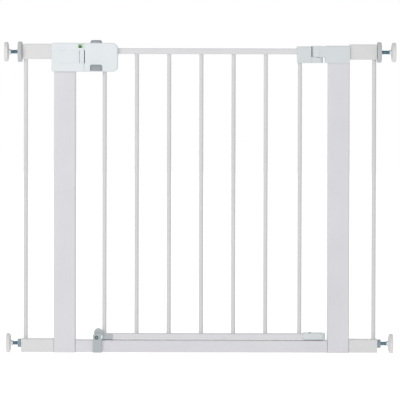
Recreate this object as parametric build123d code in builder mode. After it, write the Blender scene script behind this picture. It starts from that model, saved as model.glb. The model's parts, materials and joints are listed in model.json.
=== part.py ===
"""Pressure-mounted safety gate: a fixed frame, a swinging door, its latch and four wall pads.

Millimetres. +X to the right seen from the front, +Y to the rear, +Z up.
The origin is on the floor, midway between the upper wall pads.
"""

import os
from math import atan2, degrees, hypot

from build123d import *

# overall
upper_pad_reach = 448.0
lower_pad_reach = 443.0
floor_gap = 2.0
fit_gap = 0.3
running_gap = 0.1

# steel tubes
tube_wall = 1.2
frame_depth = 25.0
frame_corner = 3.5
post_width = 50.0
left_post_x = -309.2
right_post_x = 317.2
left_post_top = 706.0
right_post_top = 702.5
frame_rail_top = 30.0
left_post_inner = left_post_x + post_width / 2
right_post_inner = right_post_x - post_width / 2
left_post_outer = left_post_x - post_width / 2
right_post_outer = right_post_x + post_width / 2

# side extensions
extension_depth = 24.0
extension_corner = 2.5
upper_tube_bottom = 673.5
upper_tube_height = 34.6
lower_tube_height = 30.6
end_cap_flange = 2.5
seam_flange = 2.0
seam_inset = 0.5
inner_plug_length = 9.0
end_cap_plug = 12.0
left_tube_end = -407.0
right_tube_end = 405.0
lower_tube_extra = 2.0
bar_diameter = 9.5
left_bar_x = -399.1
right_bar_x = 398.7

# wall adjusters
upper_axis_z = 690.0
lower_axis_z = 22.25
spindle_diameter = 9.0
upper_spindle_length = 68.5
lower_spindle_length = 63.0
spindle_in_pad = 9.0
pad_diameter = 44.5
pad_rim = 8.0
pad_cone = 1.2
pad_boss = 5.6
boss_root_diameter = 14.0
boss_tip_diameter = 12.5
wheel_diameter = 47.0
wheel_thickness = 9.4
wheel_lobes = 24
nut_across = 18.5
nut_thickness = 7.4
cap_clearance = 0.6

# door
hinge_x = 270.4
door_depth = 20.0
door_corner = 2.5
top_rail_bottom = 685.4
top_rail_top = 698.4
top_rail_left = -223.2
top_rail_right = 248.0
bottom_rail_bottom = 33.0
bottom_rail_top = 45.0
bottom_rail_left = -221.6
bottom_rail_right = 262.0
first_bar_x = -218.5
bar_pitch = 73.8
last_bar_x = 228.7
bar_count = 7

# latch housings
housing_half_depth = 19.5
housing_wall = 2.0
housing_bottom = 644.6
housing_top = 710.2
strike_left = -339.6
strike_right = -265.6
handle_left = -264.8
handle_right = -188.4
handle_corner = 13.0
strike_corner = 3.5
edge_round = 2.5
mouth_left = -276.1
mouth_bottom = 663.2
mouth_top = 692.8
band_depth = 0.8
band_margin = 6.0
slot_right = -263.2
slot_bottom = 663.0
slot_top = 693.0
boss_radius = 3.5
head_hole_radius = 3.2
head_hole_depth = 2.6
thread_radius = 1.5
head_radius = 2.9
head_height = 1.8
post_clearance = 0.2
band_bottom = 664.0
band_top = 693.0

# bolt and buttons
bolt_tip = -275.5
bolt_head_end = -265.4
bolt_end = -238.0
bolt_bottom = 663.6
bolt_top = 692.4
bolt_head_half = 18.3
bolt_room_half = 18.65
bolt_room_right = -253.6
bolt_round = 2.0
bolt_half = 6.0
bolt_travel = 11.0
button_travel = 5.0
peg_diameter = 3.0
peg_x = -243.0
upper_peg_z = 687.5
lower_peg_z = 669.5
stem_left = -252.0
stem_right = -236.0
stem_near = 7.0
stem_far = 10.0
top_button_left = -251.2
top_button_right = -224.3
top_button_top = 716.8
top_button_bottom = 700.0
top_button_shoulder = 710.4
top_button_slant = 2.4
top_button_half_depth = 12.0
top_flange_overlap = 1.5
top_flange_right = 0.6
top_flange_top = 707.4
top_arm_bottom = 680.4
low_button_left = -251.5
low_button_right = -223.3
low_button_top = 660.5
low_button_bottom = 646.5
low_button_corner = 4.5
low_plate_overlap = 1.8
low_plate_thickness = 2.4
low_plate_top = 663.4
low_foot_bottom = 645.0
low_foot_rear = -8.4
low_bridge_rear = 12.0
low_bridge_thickness = 3.6
low_arm_bottom = 659.5
low_arm_top = 674.4
spring_x = -244.0
spring_y = 9.5
spring_diameter = 4.4
spring_wire = 0.7
spring_length = 11.0
shelf_thickness = 2.0
shelf_left = -249.5
shelf_right = -238.5
shelf_near = 6.6

# indicator
window_left = -278.8
window_right = -268.0
window_bottom = 698.6
window_top = 707.4
flag_room = (-293.0, -266.8)
flag_room_front = -18.5
flag_room_bottom = 695.2
flag_room_top = 708.4
shutter_left = -292.2
shutter_right = -279.1
shutter_front = -18.2
shutter_thickness = 0.6
shutter_bottom = 695.6
shutter_top = 707.9
lug_right = -288.6
lug_top = 698.2
finger_front = -16.6
finger_rear = -13.2
finger_bottom = 683.2
finger_top = 688.0
panel_left = -281.4
panel_right = -266.9
panel_front = -17.3
panel_thickness = 0.8
panel_bottom = 698.5

# hinges
post_cap_half_depth = 15.5
post_cap_bottom = 665.5
post_cap_top = 704.9
post_cap_left = 285.8
overhang_bottom = 678.9
overhang_radius = 15.4
door_cap_left = 221.7
door_cap_right = 254.0
door_cap_bottom = 665.4
door_cap_top = 703.3
door_cap_half_depth = 12.2
foot_top = 678.0
foot_radius = 11.1
pin_diameter = 6.0
pin_bottom = 668.2
pin_top = 700.8
pin_end_gap = 0.4
low_cap_left = 237.0
cap_screw_x = 252.8
low_cap_right = 287.4
low_cap_bottom = 32.2
low_cap_top = 46.4
low_cap_half_depth = 14.0
low_cap_corner = 11.0
pivot_diameter = 8.0
cap_edge = 1.2

# catch at the foot of the door
ear_left = -243.8
ear_right = -224.4
ear_front = -18.0
ear_seat = -12.5
ear_rear = -15.0
ear_top = 46.5
saddle_top = 31.0
stop_pivot_x = -235.9
stop_pivot_z = 36.4
stop_dome_x = -231.6
stop_dome_z = 47.7
stop_dome_radius = 10.0
stop_pivot_radius = 5.0
stop_near = -14.7
stop_far = -11.6
sleeve_left = -222.9
sleeve_right = -199.0
sleeve_half_depth = 11.2
sleeve_bottom = 31.8
sleeve_top = 44.2


def save(piece, name):
    """Labels a finished piece and writes it as its own STEP file."""
    piece.part.label = name
    export_step(piece.part, "parts/" + name + ".step")


def at_x(x):
    """The Y-Z plane at this X, facing +X."""
    return Plane.YZ.offset(x)


def at_y(y):
    """The X-Z plane at this Y, facing -Y."""
    return Plane.XZ.offset(-y)


def at_z(z):
    """The X-Y plane at this height, facing up."""
    return Plane.XY.offset(z)


def block(x, y, z, mode=Mode.ADD):
    """A plain box between three (low, high) pairs, in the part being built."""
    with Locations(((x[0] + x[1]) / 2, (y[0] + y[1]) / 2, (z[0] + z[1]) / 2)):
        Box(x[1] - x[0], y[1] - y[0], z[1] - z[0], mode=mode)


def hollow_section(width, height, corner):
    """The outline of a rectangular tube, in the sketch being built."""
    RectangleRounded(width, height, corner)
    inside = 2 * tube_wall
    RectangleRounded(width - inside, height - inside, corner - tube_wall, mode=Mode.SUBTRACT)


# fixed frame


def make_post(name, x, top, outer_face):
    """One upright, with a window near each end where the extension's plug goes in."""
    with BuildPart() as post:
        with BuildSketch(at_z(floor_gap)):
            with Locations((x, 0)):
                hollow_section(post_width, frame_depth, frame_corner)
        extrude(amount=top - floor_gap)
        inward = 1 if outer_face < x else -1
        reach = (outer_face, outer_face + inward * 2 * tube_wall)
        for low, height in ((floor_gap, lower_tube_height), (upper_tube_bottom, upper_tube_height)):
            middle = low + height / 2
            window = height / 2 - 6
            block(sorted(reach), (-8, 8), (middle - window, middle + window), Mode.SUBTRACT)
    save(post, name)


def make_frame_rail():
    """The threshold tube between the posts, drilled on top for the door's lower pivot."""
    with BuildPart() as rail:
        height = frame_rail_top - floor_gap
        with BuildSketch(at_x(left_post_inner)):
            with Locations((0, floor_gap + height / 2)):
                hollow_section(frame_depth, height, 3.0)
        extrude(amount=right_post_inner - left_post_inner)
        with Locations((hinge_x, 0, frame_rail_top - tube_wall)):
            Cylinder(pivot_diameter / 2, 2 * tube_wall, mode=Mode.SUBTRACT)
    save(rail, "frame_rail")


def make_extension_tube(name, inner, outer, bottom, height):
    """One short tube of an extension, from the seam at its post to its end cap."""
    low, high = sorted((inner, outer))
    with BuildPart() as tube:
        with BuildSketch(at_x(low)):
            with Locations((0, bottom + height / 2)):
                hollow_section(extension_depth, height, extension_corner)
        extrude(amount=high - low)
    save(tube, name)


def make_extension_bar(name, x):
    """The round bar that joins an extension's two tubes."""
    low = floor_gap + lower_tube_height
    with BuildPart() as bar:
        with BuildSketch(at_z(low)):
            with Locations((x, 0)):
                Circle(bar_diameter / 2)
        extrude(amount=upper_tube_bottom - low)
    save(bar, name)


def make_end_cap(name, face, side, bottom, height, axis_z):
    """The plastic cap that closes a tube's end and guides the spindle."""
    start = face - side * end_cap_flange
    plug_end = start - side * end_cap_plug
    inside = 2 * (tube_wall + 0.05)
    middle = bottom + height / 2
    with BuildPart() as cap:
        with BuildSketch(at_x(min(face, start))):
            with Locations((0, middle)):
                RectangleRounded(extension_depth, height, extension_corner)
        extrude(amount=end_cap_flange)
        with BuildSketch(at_x(min(start, plug_end))):
            with Locations((0, middle)):
                RectangleRounded(extension_depth - inside, height - inside, 1.2)
        extrude(amount=end_cap_plug)
        with Locations(Location((face - side * 8, 0, axis_z), (0, 90, 0))):
            Cylinder(spindle_diameter / 2 + running_gap, 40, mode=Mode.SUBTRACT)
        fillet(cap.faces().sort_by(Axis.X)[-1 if side > 0 else 0].outer_wire().edges(), 0.8)
    save(cap, name)


def make_inner_plugs():
    """Four plugs that seat the extensions in the posts and leave a narrow seam between."""
    levels = ((floor_gap, lower_tube_height), (upper_tube_bottom, upper_tube_height))
    inside = 2 * (tube_wall + 0.1)
    with BuildPart() as plugs:
        for post_face, side in ((left_post_outer, -1), (right_post_outer, 1)):
            for low, height in levels:
                seam = 2 * seam_inset
                pieces = (
                    (side * seam_flange, extension_depth - seam, height - seam),
                    (side * (seam_flange + inner_plug_length), extension_depth - inside, height - inside),
                    (-side * 8.0, 15.8, height - 12.2),
                )
                for length, deep, tall in pieces:
                    with BuildSketch(at_x(min(post_face, post_face + length))):
                        with Locations((0, low + height / 2)):
                            RectangleRounded(deep, tall, 1.6)
                    extrude(amount=abs(length))
    save(plugs, "extension_plugs")


def make_post_feet():
    """Plastic plugs that close the lower ends of the posts."""
    inside = 2 * (tube_wall + 0.1)
    with BuildPart() as feet:
        with BuildSketch(at_z(floor_gap - 0.6)):
            with Locations((left_post_x, 0), (right_post_x, 0)):
                RectangleRounded(post_width - inside, frame_depth - inside, frame_corner - tube_wall)
        extrude(amount=5.6)
    save(feet, "post_feet")


# wall adjusters


def make_spindle(name, reach, side, axis_z, length):
    """The threaded rod that carries a wall pad."""
    outer = reach - spindle_in_pad
    inner = outer - length
    with BuildPart() as rod:
        with BuildSketch(at_x(min(side * outer, side * inner))):
            with Locations((0, axis_z)):
                Circle(spindle_diameter / 2)
        extrude(amount=outer - inner)
        chamfer(rod.edges().filter_by(GeomType.CIRCLE).sort_by(Axis.X)[0 if side > 0 else -1], 0.8)
    save(rod, name)


def pad_point(reach, side, axis_z, inset, radius):
    """A point of a pad's half profile, on the X-Z plane."""
    return (side * (reach - inset), axis_z + radius)


def make_pad(name, reach, side, axis_z):
    """A round wall pad: a rim, a shallow cone behind it and a boss for the spindle."""
    rim = pad_diameter / 2
    bore = spindle_diameter / 2
    profile = (
        (0, 0),
        (0, rim - 1.8),
        (1.8, rim),
        (pad_rim - 1.0, rim),
        (pad_rim, rim - 1.5),
        (pad_rim + pad_cone, rim - 3.5),
        (pad_rim + pad_cone, boss_root_diameter / 2),
        (pad_rim + pad_cone + pad_boss, boss_tip_diameter / 2),
        (pad_rim + pad_cone + pad_boss, bore),
        (spindle_in_pad, bore),
        (spindle_in_pad, 0),
    )
    with BuildPart() as pad:
        with BuildSketch(Plane.XZ):
            with BuildLine():
                Polyline(*[pad_point(reach, side, axis_z, a, r) for a, r in profile], close=True)
            make_face()
        revolve(axis=Axis((0, 0, axis_z), (1, 0, 0)), revolution_arc=360)
    save(pad, name)


def make_thumbwheel(name, tube_end, side):
    """The finger-grip wheel that drives an upper spindle."""
    start = side * (abs(tube_end) + cap_clearance)
    end = start + side * wheel_thickness
    radius = wheel_diameter / 2
    with BuildPart() as wheel:
        with BuildSketch(at_x(min(start, end))):
            with Locations((0, upper_axis_z)):
                Circle(radius)
                Circle(spindle_diameter / 2 + running_gap, mode=Mode.SUBTRACT)
                with PolarLocations(radius + 0.9, wheel_lobes):
                    Circle(1.9, mode=Mode.SUBTRACT)
        extrude(amount=wheel_thickness)
        with BuildSketch(at_x(end)):
            with Locations((0, upper_axis_z)):
                Circle(radius - 4)
                Circle(9, mode=Mode.SUBTRACT)
        extrude(amount=-side * 1.6, mode=Mode.SUBTRACT)
    save(wheel, name)


def make_nut(name, tube_end, side):
    """The hexagon nut that drives a lower spindle."""
    start = side * (abs(tube_end) + cap_clearance)
    end = start + side * nut_thickness
    with BuildPart() as nut:
        with BuildSketch(at_x(min(start, end))):
            with Locations((0, lower_axis_z)):
                RegularPolygon(nut_across / 2, 6, major_radius=False)
                Circle(spindle_diameter / 2 + running_gap, mode=Mode.SUBTRACT)
        extrude(amount=nut_thickness)
    save(nut, name)


# door frame


def make_door_rail(name, left, right, bottom, top):
    """One horizontal tube of the door."""
    with BuildPart() as rail:
        with BuildSketch(at_x(left)):
            with Locations((0, (bottom + top) / 2)):
                hollow_section(door_depth, top - bottom, door_corner)
        extrude(amount=right - left)
    save(rail, name)


def make_door_bars():
    """The upright bars, evenly spaced but for the slightly wider hinge-side gap."""
    places = [first_bar_x + bar_pitch * i for i in range(bar_count - 1)] + [last_bar_x]
    for number, x in enumerate(places, 1):
        with BuildPart() as bar:
            with BuildSketch(at_z(bottom_rail_top)):
                with Locations((x, 0)):
                    Circle(bar_diameter / 2)
            extrude(amount=top_rail_bottom - bottom_rail_top)
        save(bar, "door_bar_" + str(number))


# latch housings


def shell_half(side, left, right, corner, seam):
    """Half of a latch housing as an open shell, rounded except along the seam's side."""
    wall = housing_wall
    center = ((left + right) / 2, (housing_bottom + housing_top) / 2)
    width = right - left
    height = housing_top - housing_bottom
    far = 0 if seam > 0 else -1
    with BuildPart(mode=Mode.PRIVATE) as half:
        with BuildSketch(Plane.XZ) as outside:
            with Locations(center):
                Rectangle(width, height)
            fillet(outside.vertices().group_by(Axis.X)[far], corner)
        extrude(amount=-side * housing_half_depth)
        rim = half.faces().sort_by(Axis.Y)[-1 if side > 0 else 0].edges().sort_by(Axis.X)
        fillet(rim[:-1] if seam > 0 else rim[1:], edge_round)
        with BuildSketch(Plane.XZ) as inside:
            with Locations(center):
                Rectangle(width - 2 * wall, height - 2 * wall)
            fillet(inside.vertices().group_by(Axis.X)[far], corner - wall)
        extrude(amount=-side * (housing_half_depth - wall), mode=Mode.SUBTRACT)
    return half.part


def across(side, near, far):
    """A (low, high) pair in Y on the front (-1) or rear (+1) side."""
    return sorted((side * near, side * far))


def cut_screw_hole(side, x, z):
    """A screw boss with its hole, which is countersunk and open on the rear half only."""
    depth = housing_half_depth - housing_wall
    bore = thread_radius + running_gap
    with Locations(Location((x, side * depth / 2, z), (90, 0, 0))):
        Cylinder(boss_radius, depth)
        Cylinder(bore, depth, mode=Mode.SUBTRACT)
    if side > 0:
        with Locations(Location((x, housing_half_depth - head_hole_depth / 2, z), (90, 0, 0))):
            Cylinder(head_hole_radius, head_hole_depth, mode=Mode.SUBTRACT)


strike_screws = ((-273.2, 652.6), (-337.4, 652.6))
handle_screws = ((-259.4, 652.4), (-259.4, 703.6), (-197.5, 652.4), (-197.5, 703.6))


def make_strike_cover(name, side):
    """Half of the fixed housing, with the mouth for the bolt and the ways in for the tubes."""
    wall = housing_wall
    shell = shell_half(side, strike_left, strike_right, strike_corner, 1)
    with BuildPart() as cover:
        add(shell)
        inside = across(side, 0, housing_half_depth - wall / 2)
        through = across(side, -1, housing_half_depth + 1)
        lining = (mouth_left - wall, strike_right)
        block(lining, inside, (mouth_bottom - wall, mouth_top + wall))
        block((mouth_left, strike_right + 1), through, (mouth_bottom, mouth_top), Mode.SUBTRACT)
        for x, z in strike_screws:
            cut_screw_hole(side, x, z)
        gap = post_clearance
        post = (left_post_outer - gap, left_post_inner + gap)
        deep = across(side, 0, frame_depth / 2 + gap)
        block(post, deep, (housing_bottom - 1, left_post_top + gap), Mode.SUBTRACT)
        tube = (upper_tube_bottom - gap, upper_tube_bottom + upper_tube_height + gap)
        tube_depth = across(side, 0, extension_depth / 2 + gap)
        block((strike_left - 1, left_post_outer + 1), tube_depth, tube, Mode.SUBTRACT)
        if side < 0:
            band = across(side, housing_half_depth - band_depth, housing_half_depth + 1)
            band_span = (strike_left + band_margin, mouth_left - wall)
            block(band_span, band, (band_bottom, band_top), Mode.SUBTRACT)
            cut_flag_room()
    save(cover, name)


def cut_flag_room():
    """The indicator's window, the thinned wall behind it and the slit for the shutter's finger."""
    room = (flag_room_front, -(housing_half_depth - housing_wall) + 1)
    block(flag_room, room, (flag_room_bottom, flag_room_top), Mode.SUBTRACT)
    window = (-housing_half_depth - 1, flag_room_front + 1)
    block((window_left, window_right), window, (window_bottom, window_top), Mode.SUBTRACT)
    slit = (mouth_left - 2 * housing_wall, mouth_left + 1)
    slit_depth = (finger_front - fit_gap, finger_rear + fit_gap)
    slit_height = (finger_bottom - 2 * fit_gap, finger_top + 2 * fit_gap)
    block(slit, slit_depth, slit_height, Mode.SUBTRACT)


def make_handle_cover(name, side):
    """Half of the door's housing, with openings for the bolt, the buttons, the rail and a bar."""
    shell = shell_half(side, handle_left, handle_right, handle_corner, -1)
    depth = housing_half_depth - housing_wall
    shelf_z = low_button_top + spring_length
    if side < 0:
        shelf_z = top_button_bottom - spring_length - shelf_thickness
    with BuildPart() as cover:
        add(shell)
        shelf = (shelf_z, shelf_z + shelf_thickness)
        block((shelf_left, shelf_right), across(side, shelf_near, depth), shelf)
        for x, z in handle_screws:
            cut_screw_hole(side, x, z)
        bolt_way = (bolt_bottom - fit_gap, bolt_top + fit_gap)
        block((handle_left - 1, bolt_room_right), across(side, 0, bolt_room_half), bolt_way, Mode.SUBTRACT)
        through = across(side, -1, housing_half_depth + 1)
        block((handle_left - 1, slot_right), through, (slot_bottom, slot_top), Mode.SUBTRACT)
        top_way = (top_button_left - fit_gap, top_button_right + fit_gap)
        top_depth = across(side, 0, top_button_half_depth + fit_gap)
        block(top_way, top_depth, (housing_top - 3, housing_top + 1), Mode.SUBTRACT)
        rail = across(side, 0, door_depth / 2 + running_gap)
        rail_height = (top_rail_bottom - running_gap, top_rail_top + running_gap)
        block((handle_right - handle_corner, handle_right + 1), rail, rail_height, Mode.SUBTRACT)
        with Locations((first_bar_x, 0, housing_bottom)):
            Cylinder(bar_diameter / 2 + running_gap, 3 * housing_wall, mode=Mode.SUBTRACT)
        if side < 0:
            width = low_button_right - low_button_left
            height = low_button_top - low_button_bottom
            with BuildSketch(at_y(-housing_half_depth - 1)) as notch:
                with Locations(((low_button_left + low_button_right) / 2, low_button_bottom + height / 2)):
                    Rectangle(width, height)
                fillet(notch.vertices().group_by(Axis.Y)[-1], low_button_corner)
            extrude(amount=-2 - housing_wall, mode=Mode.SUBTRACT)
            foot = (low_button_left - fit_gap, low_button_right + fit_gap)
            foot_depth = (-depth, low_foot_rear + fit_gap)
            block(foot, foot_depth, (housing_bottom - 1, housing_bottom + 3), Mode.SUBTRACT)
    save(cover, name)


def make_screws(name, places):
    """The screws that hold a rear cover to its front cover."""
    seat = housing_half_depth - head_hole_depth
    with BuildPart() as screws:
        for x, z in places:
            with Locations(Location((x, seat / 2 - 4, z), (90, 0, 0))):
                Cylinder(thread_radius, seat + 8)
            with Locations(Location((x, seat + head_height / 2, z), (90, 0, 0))):
                Cylinder(head_radius, head_height)
    save(screws, name)


# bolt, buttons and indicator


def make_bolt():
    """The latch bolt: a broad head, a thinner body and a slanted slot for each button's peg."""
    slope = degrees(atan2(button_travel, bolt_travel))
    slot_length = hypot(button_travel, bolt_travel)
    slot_width = peg_diameter + 2 * fit_gap
    with BuildPart() as bolt:
        block((bolt_tip, bolt_head_end), (-bolt_head_half, bolt_head_half), (bolt_bottom, bolt_top))
        block((bolt_head_end, bolt_end), (-bolt_half, bolt_half), (bolt_bottom, bolt_top))
        fillet(bolt.edges().filter_by(Axis.Z).sort_by(Axis.X)[:2], bolt_round)
        for z, rise in ((upper_peg_z, -1), (lower_peg_z, 1)):
            middle = (peg_x - bolt_travel / 2, z + rise * button_travel / 2)
            with BuildSketch(at_y(bolt_half + 1)):
                with Locations(middle):
                    SlotCenterToCenter(slot_length, slot_width, rotation=-rise * slope)
            extrude(amount=2 * bolt_half + 2, mode=Mode.SUBTRACT)
    save(bolt, "latch_bolt")


def add_stem(side, low, high, peg_z):
    """The arm of a button beside the bolt, and the peg that it carries through the bolt."""
    block((stem_left, stem_right), across(side, stem_near, stem_far), (low, high))
    with Locations(Location((peg_x, side * (stem_near - bolt_half) / 2, peg_z), (90, 0, 0))):
        Cylinder(peg_diameter / 2, stem_near + bolt_half)


def make_top_button():
    """The push button on top of the handle, with its arm behind the bolt."""
    left = top_button_left
    right = top_button_right
    deep = top_button_half_depth
    with BuildPart() as button:
        with BuildSketch(at_y(deep)) as outline:
            with BuildLine():
                Polyline(
                    (left, top_button_bottom),
                    (left, top_button_shoulder),
                    (left + top_button_slant, top_button_top),
                    (right - top_button_slant, top_button_top),
                    (right, top_button_shoulder),
                    (right, top_button_bottom),
                    close=True,
                )
            make_face()
            fillet(outline.vertices().group_by(Axis.Y)[-1], 1.8)
        extrude(amount=2 * deep)
        flange = (left - top_flange_overlap, right + top_flange_right)
        flange_half = deep + top_flange_overlap
        block(flange, (-flange_half, flange_half), (top_button_bottom, top_flange_top))
        add_stem(1, top_arm_bottom, top_button_bottom, upper_peg_z)
    save(button, "top_button")


def make_low_button():
    """The squeeze button under the handle: a plate behind the front notch, a foot and an arm."""
    front = -(housing_half_depth - housing_wall - fit_gap)
    left = low_button_left
    right = low_button_right
    foot = low_foot_bottom
    with BuildPart() as button:
        plate = (left - low_plate_overlap, right + low_plate_overlap)
        inner_floor = housing_bottom + housing_wall + fit_gap
        block(plate, (front, front + low_plate_thickness), (inner_floor, low_plate_top))
        block((left, right), (front, low_foot_rear), (foot, foot + low_bridge_thickness))
        bridge = (inner_floor, inner_floor + low_bridge_thickness)
        block((left, first_bar_x - bar_diameter), (front, low_bridge_rear), bridge)
        block((stem_left, stem_right), (front, -stem_near), (inner_floor, low_button_top))
        block((stem_left, stem_right), (stem_near, low_bridge_rear), (inner_floor, low_button_top))
        add_stem(-1, low_arm_bottom, low_arm_top, lower_peg_z)
    save(button, "low_button")


def make_spring(name, y, bottom):
    """A button's return spring, closed off flat at neither end."""
    turns = 5
    radius = spring_diameter / 2
    height = spring_length - spring_wire - 0.1
    with BuildPart() as spring:
        with BuildLine() as coil:
            Helix(height / turns, height, radius, center=(spring_x, y, bottom + spring_wire / 2 + 0.05))
        with BuildSketch(Plane(origin=coil.line @ 0, z_dir=coil.line % 0)):
            Circle(spring_wire / 2)
        sweep(path=coil.line, is_frenet=True)
    save(spring, name)


def make_indicator_panel():
    """The fixed green panel seen through the window."""
    top = housing_top - housing_wall
    with BuildPart() as panel:
        depth = (panel_front, panel_front + panel_thickness)
        block((panel_left, panel_right), depth, (panel_bottom, top))
    save(panel, "indicator_panel")


def make_indicator_shutter():
    """The red shutter that the bolt holds back and that covers the panel when it withdraws."""
    lug = (shutter_left, lug_right)
    with BuildPart() as shutter:
        plate = (shutter_front, shutter_front + shutter_thickness)
        block((shutter_left, shutter_right), plate, (shutter_bottom, shutter_top))
        block(lug, (shutter_front, finger_rear), (shutter_bottom, lug_top))
        block(lug, (finger_front, finger_rear), (finger_bottom, lug_top))
        finger = (shutter_left, mouth_left + fit_gap)
        block(finger, (finger_front, finger_rear), (finger_bottom, finger_top))
    save(shutter, "indicator_shutter")


# hinges


def make_post_cap():
    """The upper hinge's fixed half: a sleeve over the post and a round-ended arm over the pin."""
    with BuildPart() as cap:
        block(
            (post_cap_left, right_post_outer),
            (-post_cap_half_depth, post_cap_half_depth),
            (post_cap_bottom, post_cap_top),
        )
        front_and_rear = cap.edges().filter_by(Axis.X).group_by(Axis.Z)[-1]
        fillet(front_and_rear, 3.0)
        fillet(cap.edges().filter_by(Axis.Z).group_by(Axis.X)[0], 3.0)
        with BuildSketch(at_z(overhang_bottom)):
            with Locations((hinge_x, 0)):
                Circle(overhang_radius)
            with Locations(((hinge_x + post_cap_left + 2) / 2, 0)):
                Rectangle(post_cap_left + 2 - hinge_x, 2 * overhang_radius)
        extrude(amount=post_cap_top - overhang_bottom - 0.4)
        block(
            (right_post_inner, right_post_outer + 1),
            (-frame_depth / 2, frame_depth / 2),
            (post_cap_bottom - 1, right_post_top),
            Mode.SUBTRACT,
        )
        bore = pin_top - overhang_bottom + 1
        with Locations((hinge_x, 0, pin_top - bore / 2)):
            Cylinder(pin_diameter / 2, bore, mode=Mode.SUBTRACT)
    save(cap, "hinge_post_cap")


def make_hinge_pin():
    """The upper pin, pressed into the arm and turning in the door's foot."""
    with BuildPart() as pin:
        with BuildSketch(at_z(pin_bottom)):
            with Locations((hinge_x, 0)):
                Circle(pin_diameter / 2)
        extrude(amount=pin_top - pin_bottom)
        chamfer(pin.edges().filter_by(GeomType.CIRCLE), 0.6)
    save(pin, "hinge_pin")


def make_hinge_door_cap():
    """The upper hinge's door half: a block over the rail's end and a foot under the arm."""
    wide = door_cap_half_depth
    with BuildPart() as cap:
        with BuildSketch(at_y(wide)):
            with BuildLine():
                Polyline(
                    (door_cap_left, door_cap_top),
                    (door_cap_right, door_cap_top),
                    (door_cap_right, door_cap_bottom),
                    (door_cap_left + 0.9, door_cap_bottom),
                    (door_cap_left, door_cap_bottom + 12),
                    close=True,
                )
            make_face()
        extrude(amount=2 * wide)
        fillet(cap.edges().filter_by(Axis.X).group_by(Axis.Z)[-1], 2.5)
        with BuildSketch(at_z(door_cap_bottom)):
            with Locations((hinge_x, 0)):
                Circle(foot_radius)
            with Locations(((door_cap_right - 1 + hinge_x) / 2, 0)):
                Rectangle(hinge_x - door_cap_right + 1, 2 * foot_radius)
        extrude(amount=foot_top - door_cap_bottom)
        rail = (top_rail_bottom, top_rail_top)
        half = door_depth / 2
        block((door_cap_left - 1, top_rail_right), (-half, half), rail, Mode.SUBTRACT)
        low = door_cap_bottom - 1
        with Locations((last_bar_x, 0, (low + top_rail_bottom) / 2)):
            Cylinder(bar_diameter / 2, top_rail_bottom - low, mode=Mode.SUBTRACT)
        bore = foot_top + 1 - pin_bottom + pin_end_gap
        with Locations((hinge_x, 0, foot_top + 1 - bore / 2)):
            Cylinder(pin_diameter / 2 + running_gap, bore, mode=Mode.SUBTRACT)
    save(cap, "hinge_door_cap")


def make_low_hinge_cap():
    """The block on the end of the lower rail that sits over the pivot."""
    with BuildPart() as cap:
        with BuildSketch(at_z(low_cap_bottom)) as outline:
            with Locations(((low_cap_left + low_cap_right) / 2, 0)):
                Rectangle(low_cap_right - low_cap_left, 2 * low_cap_half_depth)
            fillet(outline.vertices().group_by(Axis.X)[0], 2.0)
            fillet(outline.vertices().group_by(Axis.X)[-1], low_cap_corner)
        extrude(amount=low_cap_top - low_cap_bottom)
        fillet(cap.faces().sort_by(Axis.Z)[-1].edges(), cap_edge)
        half = door_depth / 2
        rail = (bottom_rail_bottom, bottom_rail_top)
        block((low_cap_left - 1, bottom_rail_right), (-half, half), rail, Mode.SUBTRACT)
        with Locations((hinge_x, 0, low_cap_bottom + 5)):
            Cylinder(pivot_diameter / 2 + running_gap, 11, mode=Mode.SUBTRACT)
        with Locations((cap_screw_x, 0, low_cap_top - 1)):
            Cylinder(1.6, 4, mode=Mode.SUBTRACT)
    save(cap, "low_hinge_cap")


def make_cap_screw():
    """The screw that holds the lower hinge cap to its rail."""
    with BuildPart() as screw:
        with BuildSketch(at_z(low_cap_top)):
            with Locations((cap_screw_x, 0)):
                Circle(3.6)
        extrude(amount=1.5)
        fillet(screw.edges().sort_by(Axis.Z)[-1], 0.9)
        with BuildSketch(at_z(bottom_rail_top + 0.1)):
            with Locations((cap_screw_x, 0)):
                Circle(1.5)
        extrude(amount=low_cap_top - bottom_rail_top)
    save(screw, "low_hinge_screw")


def make_pivot_pin():
    """The lower pivot, standing in the frame rail with a collar under the door."""
    with BuildPart() as pin:
        with BuildSketch(at_z(frame_rail_top - 6)):
            with Locations((hinge_x, 0)):
                Circle(pivot_diameter / 2)
        extrude(amount=18.0)
        with BuildSketch(at_z(frame_rail_top)):
            with Locations((hinge_x, 0)):
                Circle(pivot_diameter / 2 + 2.5)
        extrude(amount=1.4)
        chamfer(pin.faces().sort_by(Axis.Z)[-1].edges(), 0.8)
    save(pin, "pivot_pin")


# catch at the foot of the door


def make_catch_bracket():
    """The plastic saddle on the frame rail: a long front leg with an ear, and a short rear leg."""
    with BuildPart() as bracket:
        block((ear_left, ear_right), (ear_rear, ear_seat), (floor_gap, saddle_top))
        block((ear_left, ear_right), (ear_front, ear_rear), (floor_gap, ear_top))
        upper = bracket.faces().sort_by(Axis.Z)[-1].edges().filter_by(Axis.Y)
        fillet(upper, 7.0)
        block((ear_left, ear_right), (ear_rear, 15.0), (frame_rail_top, saddle_top))
        block((ear_left, ear_right), (-ear_seat, 15.0), (16.0, saddle_top))
        with Locations(Location((stop_pivot_x, ear_front, stop_pivot_z), (90, 0, 0))):
            Cylinder(2.0, 12, mode=Mode.SUBTRACT)
    save(bracket, "catch_bracket")


def make_stop_rivet():
    """The shouldered rivet that the swing stop turns on."""
    with BuildPart() as rivet:
        for start, length, radius in ((ear_front, 1.4, 4.6), (stop_far + 0.3, -1.0, 3.4)):
            with BuildSketch(at_y(start)):
                with Locations((stop_pivot_x, stop_pivot_z)):
                    Circle(radius)
            extrude(amount=length)
        with BuildSketch(at_y(stop_far + 0.4)):
            with Locations((stop_pivot_x, stop_pivot_z)):
                Circle(2.0)
        extrude(amount=stop_far + 0.4 - ear_front)
    save(rivet, "stop_rivet")


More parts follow.
